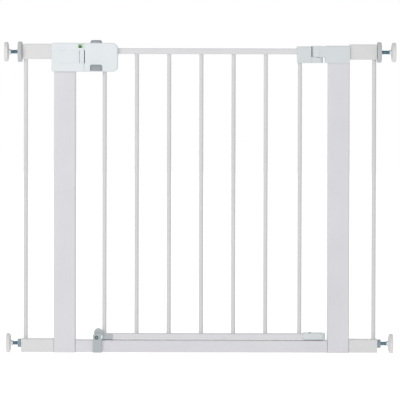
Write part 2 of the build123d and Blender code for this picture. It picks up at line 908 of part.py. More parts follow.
def make_swing_stop():
    """The small lever that turns in front of the door to stop it opening that way."""
    with BuildPart() as stop:
        with BuildSketch(at_y(stop_far)):
            with Locations((stop_dome_x, stop_dome_z)):
                Circle(stop_dome_radius)
            with Locations((stop_pivot_x, stop_pivot_z)):
                Circle(stop_pivot_radius)
            make_hull()
            with Locations((stop_pivot_x, stop_pivot_z)):
                Circle(2.0 + running_gap, mode=Mode.SUBTRACT)
        extrude(amount=stop_far - stop_near)
    save(stop, "swing_stop")


def make_door_sleeve():
    """The plastic shoe on the latch end of the lower rail, open above for the bar."""
    half = door_depth / 2
    with BuildPart() as sleeve:
        block(
            (sleeve_left, sleeve_right), (-sleeve_half_depth, sleeve_half_depth), (sleeve_bottom, sleeve_top)
        )
        fillet(sleeve.faces().sort_by(Axis.X)[-1].edges().filter_by(Axis.Y), 2.0)
        inside = (bottom_rail_left, sleeve_right + 1)
        block(inside, (-half, half), (bottom_rail_bottom, sleeve_top + 1), Mode.SUBTRACT)
    save(sleeve, "door_sleeve")


def make_frame():
    """The fixed frame with both extensions."""
    make_post("left_post", left_post_x, left_post_top, left_post_outer)
    make_post("right_post", right_post_x, right_post_top, right_post_outer)
    make_frame_rail()
    sides = (
        ("left", -1, left_post_outer, left_tube_end),
        ("right", 1, right_post_outer, right_tube_end),
    )
    for name, side, post_face, tube_end in sides:
        seam = post_face + side * seam_flange
        upper_end = tube_end
        lower_end = tube_end + side * lower_tube_extra
        upper_start = upper_end - side * end_cap_flange
        lower_start = lower_end - side * end_cap_flange
        for level, start, end, bottom, height, axis_z in (
            ("upper", upper_start, upper_end, upper_tube_bottom, upper_tube_height, upper_axis_z),
            ("lower", lower_start, lower_end, floor_gap, lower_tube_height, lower_axis_z),
        ):
            make_extension_tube(name + "_" + level + "_tube", seam, start, bottom, height)
            make_end_cap(name + "_" + level + "_end_cap", end, side, bottom, height, axis_z)
        make_thumbwheel(name + "_thumbwheel", upper_end, side)
        make_nut(name + "_nut", lower_end, side)
    make_extension_bar("left_extension_bar", left_bar_x)
    make_extension_bar("right_extension_bar", right_bar_x)
    make_inner_plugs()
    make_post_feet()


def make_adjusters():
    """The spindles and wall pads."""
    for name, side in (("left", -1), ("right", 1)):
        for level, reach, axis_z, length in (
            ("upper", upper_pad_reach, upper_axis_z, upper_spindle_length),
            ("lower", lower_pad_reach, lower_axis_z, lower_spindle_length),
        ):
            make_spindle(name + "_" + level + "_spindle", reach, side, axis_z, length)
            make_pad(name + "_" + level + "_pad", reach, side, axis_z)


def make_door():
    """The swinging door and everything on it."""
    make_door_rail("door_top_rail", top_rail_left, top_rail_right, top_rail_bottom, top_rail_top)
    make_door_rail(
        "door_bottom_rail", bottom_rail_left, bottom_rail_right, bottom_rail_bottom, bottom_rail_top
    )
    make_door_bars()
    make_handle_cover("handle_front_cover", -1)
    make_handle_cover("handle_rear_cover", 1)
    make_screws("handle_screws", handle_screws)
    make_hinge_door_cap()
    make_low_hinge_cap()
    make_cap_screw()
    make_door_sleeve()
    make_bolt()
    make_top_button()
    make_low_button()
    make_spring("top_button_spring", -spring_y, top_button_bottom - spring_length)
    make_spring("low_button_spring", spring_y, low_button_top)


def make_fixed_fittings():
    """The latch keeper, the indicator, the fixed hinge parts and the catch."""
    make_strike_cover("strike_front_cover", -1)
    make_strike_cover("strike_rear_cover", 1)
    make_screws("strike_screws", strike_screws)
    make_indicator_panel()
    make_indicator_shutter()
    make_post_cap()
    make_hinge_pin()
    make_pivot_pin()
    make_catch_bracket()
    make_stop_rivet()
    make_swing_stop()


os.makedirs("parts", exist_ok=True)
make_door()
make_fixed_fittings()
make_frame()
make_adjusters()
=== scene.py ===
"""Safety baby gate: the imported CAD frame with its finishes, threads, welds and small details.

Metres, in the CAD's own frame: +X to the right, +Y to the rear, +Z up, the floor at Z = 0.
"""

import json
import math

import bmesh
import bpy
from mathutils import Matrix, Vector


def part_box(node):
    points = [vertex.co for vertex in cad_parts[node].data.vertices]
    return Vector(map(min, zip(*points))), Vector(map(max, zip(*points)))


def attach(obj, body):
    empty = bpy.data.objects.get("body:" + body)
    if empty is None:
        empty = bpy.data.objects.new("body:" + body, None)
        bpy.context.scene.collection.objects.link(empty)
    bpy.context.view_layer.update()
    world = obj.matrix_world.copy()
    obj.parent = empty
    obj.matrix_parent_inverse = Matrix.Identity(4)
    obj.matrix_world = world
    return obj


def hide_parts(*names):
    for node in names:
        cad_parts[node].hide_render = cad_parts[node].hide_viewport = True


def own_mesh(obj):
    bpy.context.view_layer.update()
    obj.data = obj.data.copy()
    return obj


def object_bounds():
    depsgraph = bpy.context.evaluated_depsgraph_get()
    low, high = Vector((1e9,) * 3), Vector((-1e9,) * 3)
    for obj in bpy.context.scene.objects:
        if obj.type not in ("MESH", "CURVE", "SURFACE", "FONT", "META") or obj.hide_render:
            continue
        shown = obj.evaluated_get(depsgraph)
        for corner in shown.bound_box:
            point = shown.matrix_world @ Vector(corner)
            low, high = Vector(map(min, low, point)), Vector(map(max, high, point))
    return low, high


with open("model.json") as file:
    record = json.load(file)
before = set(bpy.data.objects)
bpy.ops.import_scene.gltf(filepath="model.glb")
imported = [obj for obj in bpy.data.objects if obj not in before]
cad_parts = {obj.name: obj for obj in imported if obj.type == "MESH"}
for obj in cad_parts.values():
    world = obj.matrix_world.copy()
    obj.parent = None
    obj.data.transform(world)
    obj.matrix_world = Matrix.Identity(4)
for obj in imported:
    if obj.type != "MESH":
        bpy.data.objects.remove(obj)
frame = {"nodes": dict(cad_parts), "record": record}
cad_box = [list(corner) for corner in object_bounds()]

MM = 0.001
NODES = frame["nodes"]
BODIES = frame["record"]["behaviour"]["bodies"]
BODY_OF = {node: body for body, nodes in BODIES.items() for node in nodes}
SIDES = (("left", -1), ("right", 1))

# camera: straight from the front, a long way off, at about three quarters of the gate's height
VIEW_WIDTH = 0.9168
VIEW_CENTER_Z = 0.3510
FRONT_PLANE_Y = 0.0
CAMERA_DISTANCE = 5.0
CAMERA_Z = 0.56
CAMERA_SHIFT = -0.150
CAMERA_ROLL = 0.12
SENSOR = 36.0

# the room above and below the bolt in the fixed housing's mouth
MOUTH_ROOM = 0.0004

# wall pads: the low step on the back and the hub behind it
STEP_HEIGHT = 0.0012
HUB_LENGTH = 0.0056
HUB_RADIUS = 0.0062
BORE_RADIUS = 0.0046
RIM_ROUND = 0.0012
PAD_RIBS = (0.0085, 0.0125, 0.0165)

# spindles: thread pitch, thread depth, and the mesh's steps a turn and a pitch
PITCH = 1.25 * MM
THREAD_DEPTH = 0.62 * MM
THREAD_AROUND = 28
THREAD_ALONG = 6

# wheels: ribs round the rim, mesh steps a rib, groove depth
WHEEL_RIBS = 36
STEPS_PER_RIB = 6
GROOVE_DEPTH = 0.0011

# studio light: its base level, and what is added to the front and rear, right and upward
WORLD_BASE = 0.14
WORLD_FRONT_AND_REAR = 0.93
WORLD_RIGHT = -0.10
WORLD_UP = 0.10
KEY_LOCATION = (-1.7, -1.8, 1.5)
KEY_TARGET = (-0.1, 0, 0.40)
KEY_SIZE = 1.4
KEY_POWER = 10.5

# floor: its half width, the light it gives, and how much whiter it shows to the camera
FLOOR_HALF = 14.0
FLOOR_GLOW = 0.44
FLOOR_SHOWN = 0.26
FLOOR_DROP = 0.0002


# ---------------------------------------------------------------- materials


def new_tree(name):
    """An empty node material: its tree, its surface shader and a maker of linked nodes."""
    material = bpy.data.materials.new(name)
    material.use_nodes = True
    tree = material.node_tree
    tree.nodes.clear()
    output = tree.nodes.new("ShaderNodeOutputMaterial")
    shader = tree.nodes.new("ShaderNodeBsdfPrincipled")
    tree.links.new(shader.outputs["BSDF"], output.inputs["Surface"])
    coords = tree.nodes.new("ShaderNodeTexCoord")
    return material, tree, shader, coords


def noise(tree, coords, scale, detail=3.0, stretch=(1, 1, 1)):
    """Noise over the object's own coordinates, at so many blotches a metre."""
    mapping = tree.nodes.new("ShaderNodeMapping")
    mapping.inputs["Scale"].default_value = stretch
    tree.links.new(coords.outputs["Object"], mapping.inputs["Vector"])
    texture = tree.nodes.new("ShaderNodeTexNoise")
    texture.inputs["Scale"].default_value = scale
    texture.inputs["Detail"].default_value = detail
    tree.links.new(mapping.outputs["Vector"], texture.inputs["Vector"])
    return texture.outputs["Fac"]


def spread(tree, value, low, high):
    """A number that follows a noise between two limits."""
    node = tree.nodes.new("ShaderNodeMapRange")
    node.inputs["From Min"].default_value = 0.3
    node.inputs["From Max"].default_value = 0.7
    node.inputs["To Min"].default_value = low
    node.inputs["To Max"].default_value = high
    tree.links.new(value, node.inputs["Value"])
    return node.outputs["Result"]


def tint(tree, value, dark, light):
    """A colour that follows a noise between two colours."""
    ramp = tree.nodes.new("ShaderNodeValToRGB")
    ramp.color_ramp.elements[0].position = 0.3
    ramp.color_ramp.elements[0].color = (*dark, 1)
    ramp.color_ramp.elements[1].position = 0.7
    ramp.color_ramp.elements[1].color = (*light, 1)
    tree.links.new(value, ramp.inputs["Fac"])
    return ramp.outputs["Color"]


def bump(tree, heights):
    """Bumps on bumps: (height, distance in metres, strength) from coarse to fine."""
    normal = None
    for height, distance, strength in heights:
        node = tree.nodes.new("ShaderNodeBump")
        node.inputs["Distance"].default_value = distance
        node.inputs["Strength"].default_value = strength
        tree.links.new(height, node.inputs["Height"])
        if normal is not None:
            tree.links.new(normal, node.inputs["Normal"])
        normal = node.outputs["Normal"]
    return normal


def mottled(tree, shader, value, color, dark, light):
    """Links a base colour that wanders between two shades of one colour."""
    shades = tint(tree, value, shade(color, dark), shade(color, light))
    tree.links.new(shades, shader.inputs["Base Color"])


def shade(color, factor):
    """A colour made lighter or darker."""
    return tuple(min(1.0, channel * factor) for channel in color)


def enamel(name, color, roughness=0.38):
    """Powder-coated steel: faint clouds of tone and the orange peel of a baked coat."""
    material, tree, shader, coords = new_tree(name)
    cloud = noise(tree, coords, 9.0, 4.0)
    mottled(tree, shader, cloud, color, 0.975, 1.02)
    peel = noise(tree, coords, 420.0, 2.0)
    grain = noise(tree, coords, 2600.0, 2.0)
    tree.links.new(spread(tree, cloud, roughness - 0.04, roughness + 0.05), shader.inputs["Roughness"])
    tree.links.new(bump(tree, ((peel, 0.00012, 0.35), (grain, 0.00003, 0.25))), shader.inputs["Normal"])
    shader.inputs["Specular IOR Level"].default_value = 0.45
    return material


def moulded(name, color, roughness=0.42, grain_scale=1900.0, depth=0.00006):
    """Moulded plastic with a fine spark-eroded grain."""
    material, tree, shader, coords = new_tree(name)
    cloud = noise(tree, coords, 14.0, 4.0)
    mottled(tree, shader, cloud, color, 0.97, 1.02)
    grain = noise(tree, coords, grain_scale, 3.0)
    flow = noise(tree, coords, 60.0, 2.0)
    tree.links.new(spread(tree, flow, roughness - 0.05, roughness + 0.05), shader.inputs["Roughness"])
    tree.links.new(bump(tree, ((flow, 0.0001, 0.12), (grain, depth, 0.5))), shader.inputs["Normal"])
    return material


def rubber(name, color):
    """Soft pale rubber: matt, slightly mottled, with a dusty sheen."""
    material, tree, shader, coords = new_tree(name)
    mottle = noise(tree, coords, 160.0, 5.0)
    mottled(tree, shader, mottle, color, 0.95, 1.03)
    grain = noise(tree, coords, 2200.0, 4.0)
    tree.links.new(spread(tree, mottle, 0.62, 0.78), shader.inputs["Roughness"])
    tree.links.new(bump(tree, ((mottle, 0.0001, 0.2), (grain, 0.00008, 0.5))), shader.inputs["Normal"])
    shader.inputs["Sheen Weight"].default_value = 0.12
    return material


def plated(name, color, roughness=0.30, stretch=(40, 1, 1)):
    """Zinc-plated or drawn steel: bluish, with fine turning marks and a few duller patches."""
    material, tree, shader, coords = new_tree(name)
    patch = noise(tree, coords, 140.0, 5.0)
    mottled(tree, shader, patch, color, 0.82, 1.12)
    marks = noise(tree, coords, 120.0, 3.0, stretch)
    tree.links.new(spread(tree, patch, roughness - 0.06, roughness + 0.14), shader.inputs["Roughness"])
    tree.links.new(bump(tree, ((marks, 0.00005, 0.4),)), shader.inputs["Normal"])
    shader.inputs["Metallic"].default_value = 1.0
    return material


COLORS = {
    "frame_enamel": (0.735, 0.725, 0.760),
    "extension_enamel": (0.745, 0.742, 0.745),
    "door_enamel": (0.745, 0.740, 0.765),
    "housing_plastic": (0.795, 0.838, 0.862),
    "hinge_plastic": (0.70, 0.745, 0.76),
    "white_plastic": (0.76, 0.755, 0.75),
    "grey_plastic": (0.465, 0.505, 0.52),
    "button_plastic": (0.325, 0.355, 0.395),
    "wheel_plastic": (0.58, 0.60, 0.615),
    "pad_rubber": (0.79, 0.775, 0.77),
    "zinc_steel": (0.33, 0.41, 0.455),
    "hub_steel": (0.80, 0.90, 0.96),
    "thread_steel": (0.30, 0.42, 0.49),
    "spring_steel": (0.55, 0.55, 0.56),
    "green_plastic": (0.48, 0.78, 0.42),
    "red_plastic": (0.75, 0.05, 0.04),
    "grip_plastic": (0.46, 0.50, 0.53),
    "symbol_green": (0.02, 0.07, 0.02),
    "screw_steel": (0.20, 0.21, 0.22),
    # a darker copy of the enamel for the round bars: painted shade of their sides
    "bar_enamel": (0.710, 0.706, 0.716),
    # painted shade for the hollow in the catch rivet's head
    "rivet_shadow": (0.10, 0.12, 0.13),
}
MAKERS = {
    "frame_enamel": enamel,
    "extension_enamel": enamel,
    "door_enamel": enamel,
    "housing_plastic": moulded,
    "hinge_plastic": moulded,
    "white_plastic": moulded,
    "grey_plastic": moulded,
    "button_plastic": moulded,
    "wheel_plastic": moulded,
    "pad_rubber": rubber,
    "zinc_steel": plated,
    "hub_steel": plated,
    "thread_steel": plated,
    "spring_steel": plated,
    "green_plastic": moulded,
    "red_plastic": moulded,
    "grip_plastic": moulded,
    "symbol_green": moulded,
    "screw_steel": plated,
    "bar_enamel": enamel,
    "rivet_shadow": moulded,
}
FINISH = {slot: MAKERS[slot](slot, color) for slot, color in COLORS.items()}


EDGE_WIDTHS = {
    "door_sleeve": 0.45,
    "hinge_door_cap": 0.6,
    "hinge_post_cap": 0.4,
    "low_button": 0.5,
    "swing_stop": 0.5,
    "stop_rivet": 0.3,
}


def dress_cad_nodes():
    """Gives each CAD node its slot's finish (the bars a darker copy of the enamel, painted shade of
    their round sides), smooth curved faces and slightly softened edges.
    """
    for entry in frame["record"]["subparts"]:
        node = NODES[entry["node"]]
        node.data.materials.clear()
        # the bars take the darker enamel copy: painted shade of their round sides
        slot = "bar_enamel" if "_bar" in entry["node"] else entry["material_slot"]
        node.data.materials.append(FINISH[slot])
        if entry["node"] == "catch_bracket":
            smooth_flat(node)
        else:
            soften(node, EDGE_WIDTHS.get(entry["node"], 0.25) * MM)


def smooth_flat(node, angle=25.0):
    """Smooths a node's curved faces and leaves its broad flat ones exactly flat."""
    node.data.polygons.foreach_set("use_smooth", [True] * len(node.data.polygons))
    node.data.set_sharp_from_angle(angle=math.radians(angle))


def soften(node, width, angle=35.0):
    """Rounds a node's sharp edges a little, so that they catch the light."""
    weld = node.modifiers.new("weld", "WELD")
    weld.merge_threshold = 0.000002
    bevel = node.modifiers.new("soft_edges", "BEVEL")
    bevel.width = width
    bevel.segments = 2
    bevel.limit_method = "ANGLE"
    bevel.angle_limit = math.radians(angle)
    bevel.harden_normals = True
    mesh = node.data
    mesh.polygons.foreach_set("use_smooth", [True] * len(mesh.polygons))
    even = node.modifiers.new("even_normals", "WEIGHTED_NORMAL")
    even.keep_sharp = True


# ---------------------------------------------------------------- mesh helpers


def make_object(name, bm, material, body, smooth_angle=40.0):
    """A finished piece from a bmesh, riding on a body."""
    mesh = bpy.data.meshes.new(name)
    bmesh.ops.recalc_face_normals(bm, faces=bm.faces)
    bm.to_mesh(mesh)
    bm.free()
    mesh.polygons.foreach_set("use_smooth", [True] * len(mesh.polygons))
    mesh.set_sharp_from_angle(angle=math.radians(smooth_angle))
    mesh.materials.append(material)
    piece = bpy.data.objects.new(name, mesh)
    bpy.context.scene.collection.objects.link(piece)
    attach(piece, body)
    return piece


def lathe(profile, origin, axis, segments=64, closed=False):
    """A bmesh turned from (along, radius) points about an axis direction through origin."""
    axis = Vector(axis).normalized()
    side = axis.orthogonal().normalized()
    up = axis.cross(side)
    origin = Vector(origin)
    bm = bmesh.new()
    rings = []
    for along, radius in profile:
        if radius < 1e-7:
            rings.append([bm.verts.new(origin + axis * along)])
            continue
        ring = []
        for i in range(segments):
            turn = 2 * math.pi * i / segments
            out = side * math.cos(turn) + up * math.sin(turn)
            ring.append(bm.verts.new(origin + axis * along + radius * out))
        rings.append(ring)
    pairs = list(zip(rings, rings[1:]))
    if closed:
        pairs.append((rings[-1], rings[0]))
    for a, b in pairs:
        for i in range(segments):
            j = (i + 1) % segments
            if len(a) == 1 and len(b) == 1:
                break
            if len(a) == 1:
                bm.faces.new((a[0], b[i], b[j]))
            elif len(b) == 1:
                bm.faces.new((a[i], a[j], b[0]))
            else:
                bm.faces.new((a[i], a[j], b[j], b[i]))
    return bm


def arc(center, radius, start, end, steps):
    """Points along a circular arc, angles in degrees."""
    points = []
    for i in range(steps + 1):
        turn = math.radians(start + (end - start) * i / steps)
        points.append((center[0] + radius * math.cos(turn), center[1] + radius * math.sin(turn)))
    return points


def axis_point(node):
    """The middle of a CAD node's box."""
    low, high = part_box(node)
    return (low + high) / 2


# ---------------------------------------------------------------- wall adjusters


def threaded_spindle(side_name, sign, level):
    """A spindle with a real helical thread between its plain ends."""
    node = f"{side_name}_{level}_spindle"
    low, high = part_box(node)
    center = axis_point(node)
    crest = (high.z - low.z) / 2
    root = crest - THREAD_DEPTH
    length = high.x - low.x
    steps = int(length / PITCH * THREAD_ALONG)
    bm = bmesh.new()
    rings = []
    for i in range(steps + 1):
        along = low.x + length * i / steps
        ring = []
        for k in range(THREAD_AROUND):
            turn = 2 * math.pi * k / THREAD_AROUND
            phase = ((along - low.x) / PITCH - sign * k / THREAD_AROUND) % 1.0
            flank = abs(2 * phase - 1)
            shape = min(1.0, max(0.0, (flank - 0.12) / 0.72))
            ends = min(1.0, (along - low.x) / PITCH, (high.x - along) / PITCH)
            radius = root + (crest - root) * shape * max(0.0, ends)
            at = (along, radius * math.cos(turn), center.z + radius * math.sin(turn))
            ring.append(bm.verts.new(at))
        rings.append(ring)
    for a, b in zip(rings, rings[1:]):
        for k in range(THREAD_AROUND):
            j = (k + 1) % THREAD_AROUND
            bm.faces.new((a[k], a[j], b[j], b[k]))
    bm.faces.new(rings[0])
    bm.faces.new(rings[-1])
    piece = make_object(f"{node}_thread", bm, FINISH["thread_steel"], BODY_OF[node], 60)
    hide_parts(node)


def wall_pad(side_name, sign, level):
    """A round pad: rolled rim, flat back with a low step, and a ribbed face for the wall."""
    node = f"{side_name}_{level}_pad"
    low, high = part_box(node)
    center = axis_point(node)
    face = low.x if sign < 0 else high.x
    rim = (high.z - low.z) / 2
    deep = high.x - low.x
    back = deep - HUB_LENGTH - STEP_HEIGHT
    step = back + STEP_HEIGHT
    inward = Vector((-sign, 0, 0))
    profile = [(0.0012, 0.0), (0.0012, 0.0040), (0.0004, 0.0048)]
    for radius in PAD_RIBS:
        profile += [(0.0004, radius - 0.0012), (0.0000, radius - 0.0006)]
        profile += [(0.0000, radius + 0.0006), (0.0004, radius + 0.0012)]
    profile += [(0.0000, rim - 0.0022)]
    profile += arc((RIM_ROUND, rim - RIM_ROUND), RIM_ROUND, 180, 90, 5)
    profile += arc((back - RIM_ROUND, rim - RIM_ROUND), RIM_ROUND, 90, 15, 4)
    profile += [(back + 0.0001, rim - 0.0032)]
    profile += arc((step - 0.0010, rim - 0.0045), 0.0010, 80, 0, 3)
    profile += [(step, 0.0074), (step + 0.0008, 0.0068), (step + 0.0008, BORE_RADIUS)]
    profile += [(step, BORE_RADIUS), (step, 0.0)]
    bm = lathe(profile, (face, center.y, center.z), inward, 72)
    piece = make_object(f"{node}_moulding", bm, FINISH["pad_rubber"], BODY_OF[node], 32)
    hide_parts(node)
    start, end = step + 0.0004, deep
    hub = [(start, BORE_RADIUS), (start, HUB_RADIUS), (end - 0.0006, HUB_RADIUS)]
    hub += [(end, 0.0057), (end, 0.0050), (end - 0.0006, BORE_RADIUS)]
    bm = lathe(hub, (face, center.y, center.z), inward, 48, closed=True)
    make_object(f"{node}_hub", bm, FINISH["hub_steel"], BODY_OF[node], 32)


def knurled_wheel(side_name, sign):
    """A finger wheel with rounded ribs round its rim and a dished outer face."""
    node = f"{side_name}_thumbwheel"
    low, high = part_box(node)
    center = axis_point(node)
    radius = (high.z - low.z) / 2
    inner_face = high.x if sign < 0 else low.x
    thick = high.x - low.x
    outline = (
        (0.0000, 0.0056), (0.0000, 0.0100), (0.0000, 0.0200),
        (0.0000, radius - 0.0016), (0.0003, radius - 0.0008), (0.0010, radius),
        (thick / 2, radius), (thick - 0.0010, radius), (thick - 0.0003, radius - 0.0008),
        (thick, radius - 0.0016), (thick, radius - 0.0045), (thick - 0.0004, radius - 0.0050),
        (thick - 0.0016, radius - 0.0056), (thick - 0.0018, 0.0120), (thick - 0.0017, 0.0095),
        (thick - 0.0004, 0.0088), (thick, 0.0082), (thick, 0.0054), (thick - 0.0010, BORE_RADIUS),
        (0.0010, BORE_RADIUS),
    )
    outward = Vector((sign, 0, 0))
    bm = bmesh.new()
    count = WHEEL_RIBS * STEPS_PER_RIB
    rings = []
    for along, base in outline:
        ring = []
        for i in range(count):
            turn = 2 * math.pi * i / count
            groove = 0.5 - 0.5 * math.cos(WHEEL_RIBS * turn)
            share = max(0.0, (base - (radius - 0.0030)) / 0.0030)
            r = base - GROOVE_DEPTH * groove**2 * share
            at = Vector((inner_face, center.y, center.z)) + outward * along
            ring.append(bm.verts.new(at + Vector((0, r * math.cos(turn), r * math.sin(turn)))))
        rings.append(ring)
    for a, b in zip(rings, rings[1:] + rings[:1]):
        for i in range(count):
            j = (i + 1) % count
            bm.faces.new((a[i], a[j], b[j], b[i]))
    piece = make_object(f"{node}_knurled", bm, FINISH["wheel_plastic"], BODY_OF[node], 38)
    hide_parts(node)


def hex_nut(side_name):
    """A plated hexagon nut, chamfered on both faces."""
    node = f"{side_name}_nut"
    low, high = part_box(node)
    center = axis_point(node)
    flat = (high.z - low.z) / 2
    corner = (high.y - low.y) / 2
    bm = bmesh.new()
    count = 72
    length = high.x - low.x
    rings = []
    chamfer = ((0.0, 0.93), (0.0006, 0.97), (0.0012, 1.0))
    far_chamfer = tuple((length - along, cap) for along, cap in reversed(chamfer))
    for along, cap in chamfer + far_chamfer:
        ring = []
        for i in range(count):
            turn = 2 * math.pi * i / count
            sector = (turn + math.pi / 6) % (math.pi / 3) - math.pi / 6
            hexagon = flat / math.cos(sector)
            r = min(hexagon, corner * cap)
            at = (low.x + along, center.y + r * math.sin(turn), center.z + r * math.cos(turn))
            ring.append(bm.verts.new(at))
        rings.append(ring)
    for along in (length, length - 0.0006, 0.0006, 0.0):
        r = BORE_RADIUS + (0.0005 if along in (0.0, length) else 0.0)
        rings.append([
            bm.verts.new((
                low.x + along,
                center.y + r * math.sin(2 * math.pi * i / count),
                center.z + r * math.cos(2 * math.pi * i / count),
            ))
            for i in range(count)
        ])
    for a, b in zip(rings, rings[1:] + rings[:1]):
        for i in range(count):
            j = (i + 1) % count
            bm.faces.new((a[i], a[j], b[j], b[i]))
    piece = make_object(f"{node}_chamfered", bm, FINISH["zinc_steel"], BODY_OF[node], 25)
    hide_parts(node)


# ---------------------------------------------------------------- welds


def weld_ring(name, x, y, z, radius, up, material, body):
    """The small fillet of weld and enamel round a bar where it meets a tube."""
    size = 0.0011
    profile = [(0.0, radius), (0.0, radius + size)]
    for turn in (math.radians(25), math.radians(50), math.radians(70)):
        profile.append((size - size * math.cos(turn), radius + size - size * math.sin(turn)))
    profile += [(size, radius)]
    bm = lathe(profile, (x, y, z), (0, 0, up), 40, closed=True)
    for vert in bm.verts:
        turn = math.atan2(vert.co.y - y, vert.co.x - x)
        out = Vector((vert.co.x - x, vert.co.y - y, 0))
        if out.length > radius * 1.02:
            vert.co += out.normalized() * 0.00012 * math.sin(9 * turn + 40 * x)
    make_object(name, bm, material, body, 50)


def all_welds():
    """Weld fillets at the foot of every bar, and at the head of the inner door bars and the extension
    bars.
    """
    for number in range(1, 8):
        node = f"door_bar_{number}"
        low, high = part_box(node)
        radius = (high.x - low.x) / 2
        x = (low.x + high.x) / 2
        weld_ring(f"{node}_weld_low", x, 0, low.z, radius, 1, FINISH["door_enamel"], "door")
        if number not in (1, 7):
            weld_ring(f"{node}_weld_high", x, 0, high.z, radius, -1, FINISH["door_enamel"], "door")
    for side_name, _ in SIDES:
        node = f"{side_name}_extension_bar"
        low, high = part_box(node)
        radius = (high.x - low.x) / 2
        x = (low.x + high.x) / 2
        weld_ring(f"{node}_weld_low", x, 0, low.z, radius, 1, FINISH["extension_enamel"], "frame")
        weld_ring(f"{node}_weld_high", x, 0, high.z, radius, -1, FINISH["extension_enamel"], "frame")


# ---------------------------------------------------------------- latch details


def rounded_outline(low, high, radius, steps=6):
    """The corners of an upright rectangle from (x, z) low to high, each turned through an arc."""
    points = []
    for x, z, start in (
        (high[0] - radius, high[1] - radius, 0),
        (low[0] + radius, high[1] - radius, 90),
        (low[0] + radius, low[1] + radius, 180),
        (high[0] - radius, low[1] + radius, 270),
    ):
        points += arc((x, z), radius, start, start + 90, steps)
    return points


def plate(name, outline, back, front, material, body, soft=0.0003):
    """A flat piece with an (x, z) outline, from one Y to another, its front edges softened."""
    bm = bmesh.new()
    base = bm.faces.new([bm.verts.new((x, back, z)) for x, z in outline])
    grown = bmesh.ops.extrude_face_region(bm, geom=[base])["geom"]
    moved = [item for item in grown if isinstance(item, bmesh.types.BMVert)]
    bmesh.ops.translate(bm, verts=moved, vec=(0, front - back, 0))
    top = [item for item in grown if isinstance(item, bmesh.types.BMFace)][0]
    bmesh.ops.bevel(bm, geom=list(top.edges), offset=soft, segments=2, affect="EDGES", profile=0.5)
    return make_object(name, bm, material, body, 35)


def band_inlay():
    """The gently arched grip band set into the fixed housing's recess."""
    low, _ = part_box("strike_front_cover")
    floor_y = low.y + 0.8 * MM
    left, right = low.x + 6.3 * MM, low.x + 61.2 * MM
    bottom, top = low.z + 19.9 * MM, low.z + 47.9 * MM
    across_count, along_count = 28, 40
    bm = bmesh.new()
    rows = []
    for i in range(along_count + 1):
        x = left + (right - left) * i / along_count
        end = min(1.0, (x - left) / (2 * MM), (right - x) / (2 * MM))
        row = [bm.verts.new((x, floor_y + 0.2 * MM, bottom))]
        for k in range(across_count + 1):
            share = 2 * k / across_count - 1
            z = bottom + (top - bottom) * k / across_count
            rise = (1 - abs(share) ** 5) * (0.25 + 0.75 * max(0.0, end) ** 0.5)
            rise *= 0.72 + 0.28 * math.exp(-((share - 0.25) / 0.3) ** 2)
            row.append(bm.verts.new((x, floor_y - 0.76 * MM * rise, z)))
        row.append(bm.verts.new((x, floor_y + 0.2 * MM, top)))
        rows.append(row)
    for a, b in zip(rows, rows[1:]):
        for k in range(len(a) - 1):
            bm.faces.new((a[k], a[k + 1], b[k + 1], b[k]))
    bm.faces.new(rows[0])
    bm.faces.new(rows[-1])
    make_object("strike_band_inlay", bm, FINISH["housing_plastic"], "frame", 50)


def padlock_symbol():
    """A small closed-padlock sign on the green panel."""
    _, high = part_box("strike_front_cover")
    panel_low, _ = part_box("indicator_panel")
    x = high.x - 8.2 * MM
    z = high.z - 8.2 * MM
    back, front = panel_low.y + 0.02 * MM, panel_low.y - 0.12 * MM
    body = rounded_outline((x - 3.2 * MM, z - 3.6 * MM), (x + 3.2 * MM, z + 1.0 * MM), 0.6 * MM, 3)
    plate("lock_sign_body", body, back, front, FINISH["symbol_green"], "frame", 0.00004)
    outer = arc((x, z + 1.8 * MM), 2.2 * MM, 0, 180, 14)
    inner = arc((x, z + 1.8 * MM), 1.1 * MM, 180, 0, 14)
    shackle = [(x + 2.2 * MM, z + 1.0 * MM)] + outer
    shackle += [(x - 2.2 * MM, z + 1.0 * MM), (x - 1.1 * MM, z + 1.0 * MM)]
    shackle += inner + [(x + 1.1 * MM, z + 1.0 * MM)]
    plate("lock_sign_shackle", shackle, back, front, FINISH["symbol_green"], "frame", 0.00004)


def mouth_lips():
    """The thin pale lips that close the gaps round the bolt's mouth and along the housings' seam."""
    low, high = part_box("strike_front_cover")
    bolt_low, bolt_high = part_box("latch_bolt")
    gap = 0.3 * MM
    tip_bottom, tip_top = bolt_low.z - MOUTH_ROOM, bolt_high.z + MOUTH_ROOM
    back, front = low.y + 1.8 * MM, low.y + 0.25 * MM
    left = bolt_low.x - 0.6 * MM
    for name, corner_a, corner_b in (
        ("mouth_lip_left", (left, tip_bottom), (left + 0.52 * MM, tip_top)),
        ("mouth_lip_top", (left, tip_top - gap), (high.x, tip_top)),
        ("mouth_lip_bottom", (left, tip_bottom), (high.x, tip_bottom + gap)),
        ("seam_lip", (high.x - 0.2 * MM, low.z + 2 * MM), (high.x + 0.35 * MM, high.z - 2 * MM)),
    ):
        outline = rounded_outline(corner_a, corner_b, 0.1 * MM, 2)
        plate(name, outline, back, front, FINISH["housing_plastic"], "frame", 0.00003)


def coil_spring(node):
    """A return spring as a real coil."""
    low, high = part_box(node)
    center = (low + high) / 2
    wire = 0.35 * MM
    coil = (high.x - low.x) / 2 - wire
    turns, per_turn, around = 6.5, 28, 8
    start, end = low.z + wire, high.z - wire
    steps = int(turns * per_turn)
    bm = bmesh.new()
    rings = []
    for i in range(steps + 1):
        turn = 2 * math.pi * turns * i / steps
        z = start + (end - start) * i / steps
        out = Vector((math.cos(turn), math.sin(turn), 0))
        middle = Vector((center.x, center.y, z)) + out * coil
        rings.append([
            bm.verts.new(middle + wire * (out * math.cos(a) + Vector((0, 0, 1)) * math.sin(a)))
            for a in (2 * math.pi * k / around for k in range(around))
        ])
    for a, b in zip(rings, rings[1:]):
        for k in range(around):
            j = (k + 1) % around
            bm.faces.new((a[k], a[j], b[j], b[k]))
    bm.faces.new(rings[0])
    bm.faces.new(rings[-1])
    piece = make_object(f"{node}_coil", bm, FINISH["spring_steel"], BODY_OF[node], 60)
    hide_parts(node)
    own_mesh(piece)


